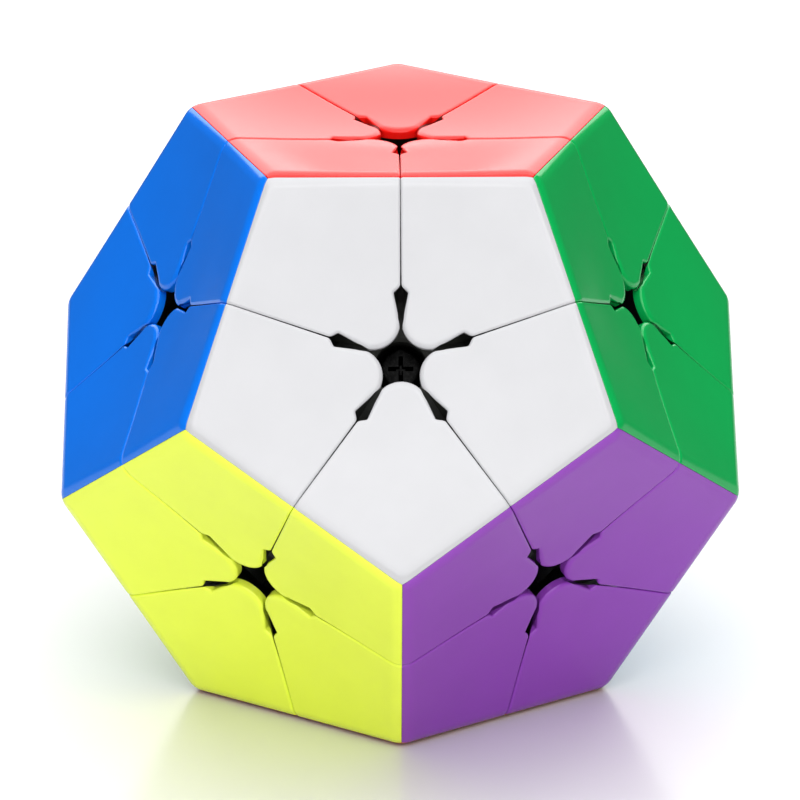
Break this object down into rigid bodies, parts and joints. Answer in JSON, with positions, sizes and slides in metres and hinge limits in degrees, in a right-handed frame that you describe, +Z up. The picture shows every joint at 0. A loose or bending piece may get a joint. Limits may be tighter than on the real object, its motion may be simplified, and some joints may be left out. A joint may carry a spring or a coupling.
{
  "type": "dodecahedral corner-turning hand puzzle",
  "caption": "Dodecahedral twisty puzzle of corner pieces around a hidden core, with dished faces and a star-shaped hole at the middle of each face; layers turn on face axes.",
  "frame": {"origin": "centre of the dodecahedron", "axes": "+Z up through the middle of the red face, -Y towards the viewer through the edge of the white and front lower corner, +X to the right"},
  "size_m": [0.0778, 0.0818, 0.0668],
  "materials": {
    "corner_plastic": "moulded ABS, gloss, with coloured shells on the outer faces",
    "edge_plastic": "moulded ABS, satin",
    "cap_plastic": "moulded nylon, satin",
    "core_plastic": "moulded nylon, satin",
    "screw_steel": "zinc-plated"
  },
  "bodies": {
    "frame": {"core": "core_plastic", "corner_blue_lime_yellow": "corner_plastic", "corner_cream_grey_pink": "corner_plastic", "corner_cream_sky_grey": "corner_plastic", "corner_green_purple_sky": "corner_plastic", "corner_green_sky_cream": "corner_plastic", "corner_pink_grey_lime": "corner_plastic", "corner_pink_lime_blue": "corner_plastic", "corner_white_blue_yellow": "corner_plastic", "corner_white_purple_green": "corner_plastic", "corner_white_yellow_purple": "corner_plastic", "edge_blue_white": "edge_plastic", "edge_cream_pink": "edge_plastic", "edge_green_cream": "edge_plastic", "edge_pink_blue": "edge_plastic", "edge_white_green": "edge_plastic", "screw_blue": "screw_steel", "screw_cream": "screw_steel", "screw_green": "screw_steel", "screw_grey": "screw_steel", "screw_lime": "screw_steel", "screw_orange": "screw_steel", "screw_pink": "screw_steel", "screw_purple": "screw_steel", "screw_red": "screw_steel", "screw_sky": "screw_steel", "screw_white": "screw_steel", "screw_yellow": "screw_steel"},
    "top_layer": {"corner_red_blue_white": "corner_plastic", "corner_red_cream_pink": "corner_plastic", "corner_red_green_cream": "corner_plastic", "corner_red_pink_blue": "corner_plastic", "corner_red_white_green": "corner_plastic", "edge_red_blue": "edge_plastic", "edge_red_cream": "edge_plastic", "edge_red_green": "edge_plastic", "edge_red_pink": "edge_plastic", "edge_red_white": "edge_plastic", "cap_red": "cap_plastic"},
    "bottom_layer": {"corner_grey_orange_lime": "corner_plastic", "corner_lime_orange_yellow": "corner_plastic", "corner_purple_orange_sky": "corner_plastic", "corner_purple_yellow_orange": "corner_plastic", "corner_sky_orange_grey": "corner_plastic", "edge_orange_grey": "edge_plastic", "edge_orange_lime": "edge_plastic", "edge_orange_purple": "edge_plastic", "edge_orange_sky": "edge_plastic", "edge_orange_yellow": "edge_plastic", "cap_orange": "cap_plastic"},
    "cap_white": {"cap_white": "cap_plastic"},
    "cap_green": {"cap_green": "cap_plastic"},
    "cap_cream": {"cap_cream": "cap_plastic"},
    "cap_pink": {"cap_pink": "cap_plastic"},
    "cap_blue": {"cap_blue": "cap_plastic"},
    "cap_purple": {"cap_purple": "cap_plastic"},
    "cap_sky": {"cap_sky": "cap_plastic"},
    "cap_grey": {"cap_grey": "cap_plastic"},
    "cap_lime": {"cap_lime": "cap_plastic"},
    "cap_yellow": {"cap_yellow": "cap_plastic"}
  },
  "joints": [
    {"name": "top_layer_turn", "type": "hinge", "parent": "frame", "child": "top_layer", "pos_m": [0, 0, 0], "axis": [0, 0, 1], "continuous": true},
    {"name": "bottom_layer_turn", "type": "hinge", "parent": "frame", "child": "bottom_layer", "pos_m": [0, 0, 0], "axis": [0, 0, -1], "continuous": true},
    {"name": "cap_white_turn", "type": "hinge", "parent": "frame", "child": "cap_white", "pos_m": [0, 0, 0], "axis": [0, -0.8944, 0.4472], "continuous": true},
    {"name": "cap_green_turn", "type": "hinge", "parent": "frame", "child": "cap_green", "pos_m": [0, 0, 0], "axis": [0.8507, -0.2764, 0.4472], "continuous": true},
    {"name": "cap_cream_turn", "type": "hinge", "parent": "frame", "child": "cap_cream", "pos_m": [0, 0, 0], "axis": [0.5257, 0.7236, 0.4472], "continuous": true},
    {"name": "cap_pink_turn", "type": "hinge", "parent": "frame", "child": "cap_pink", "pos_m": [0, 0, 0], "axis": [-0.5257, 0.7236, 0.4472], "continuous": true},
    {"name": "cap_blue_turn", "type": "hinge", "parent": "frame", "child": "cap_blue", "pos_m": [0, 0, 0], "axis": [-0.8507, -0.2764, 0.4472], "continuous": true},
    {"name": "cap_purple_turn", "type": "hinge", "parent": "frame", "child": "cap_purple", "pos_m": [0, 0, 0], "axis": [0.5257, -0.7236, -0.4472], "continuous": true},
    {"name": "cap_sky_turn", "type": "hinge", "parent": "frame", "child": "cap_sky", "pos_m": [0, 0, 0], "axis": [0.8507, 0.2764, -0.4472], "continuous": true},
    {"name": "cap_grey_turn", "type": "hinge", "parent": "frame", "child": "cap_grey", "pos_m": [0, 0, 0], "axis": [0, 0.8944, -0.4472], "continuous": true},
    {"name": "cap_lime_turn", "type": "hinge", "parent": "frame", "child": "cap_lime", "pos_m": [0, 0, 0], "axis": [-0.8507, 0.2764, -0.4472], "continuous": true},
    {"name": "cap_yellow_turn", "type": "hinge", "parent": "frame", "child": "cap_yellow", "pos_m": [0, 0, 0], "axis": [-0.5257, -0.7236, -0.4472], "continuous": true}
  ]
}
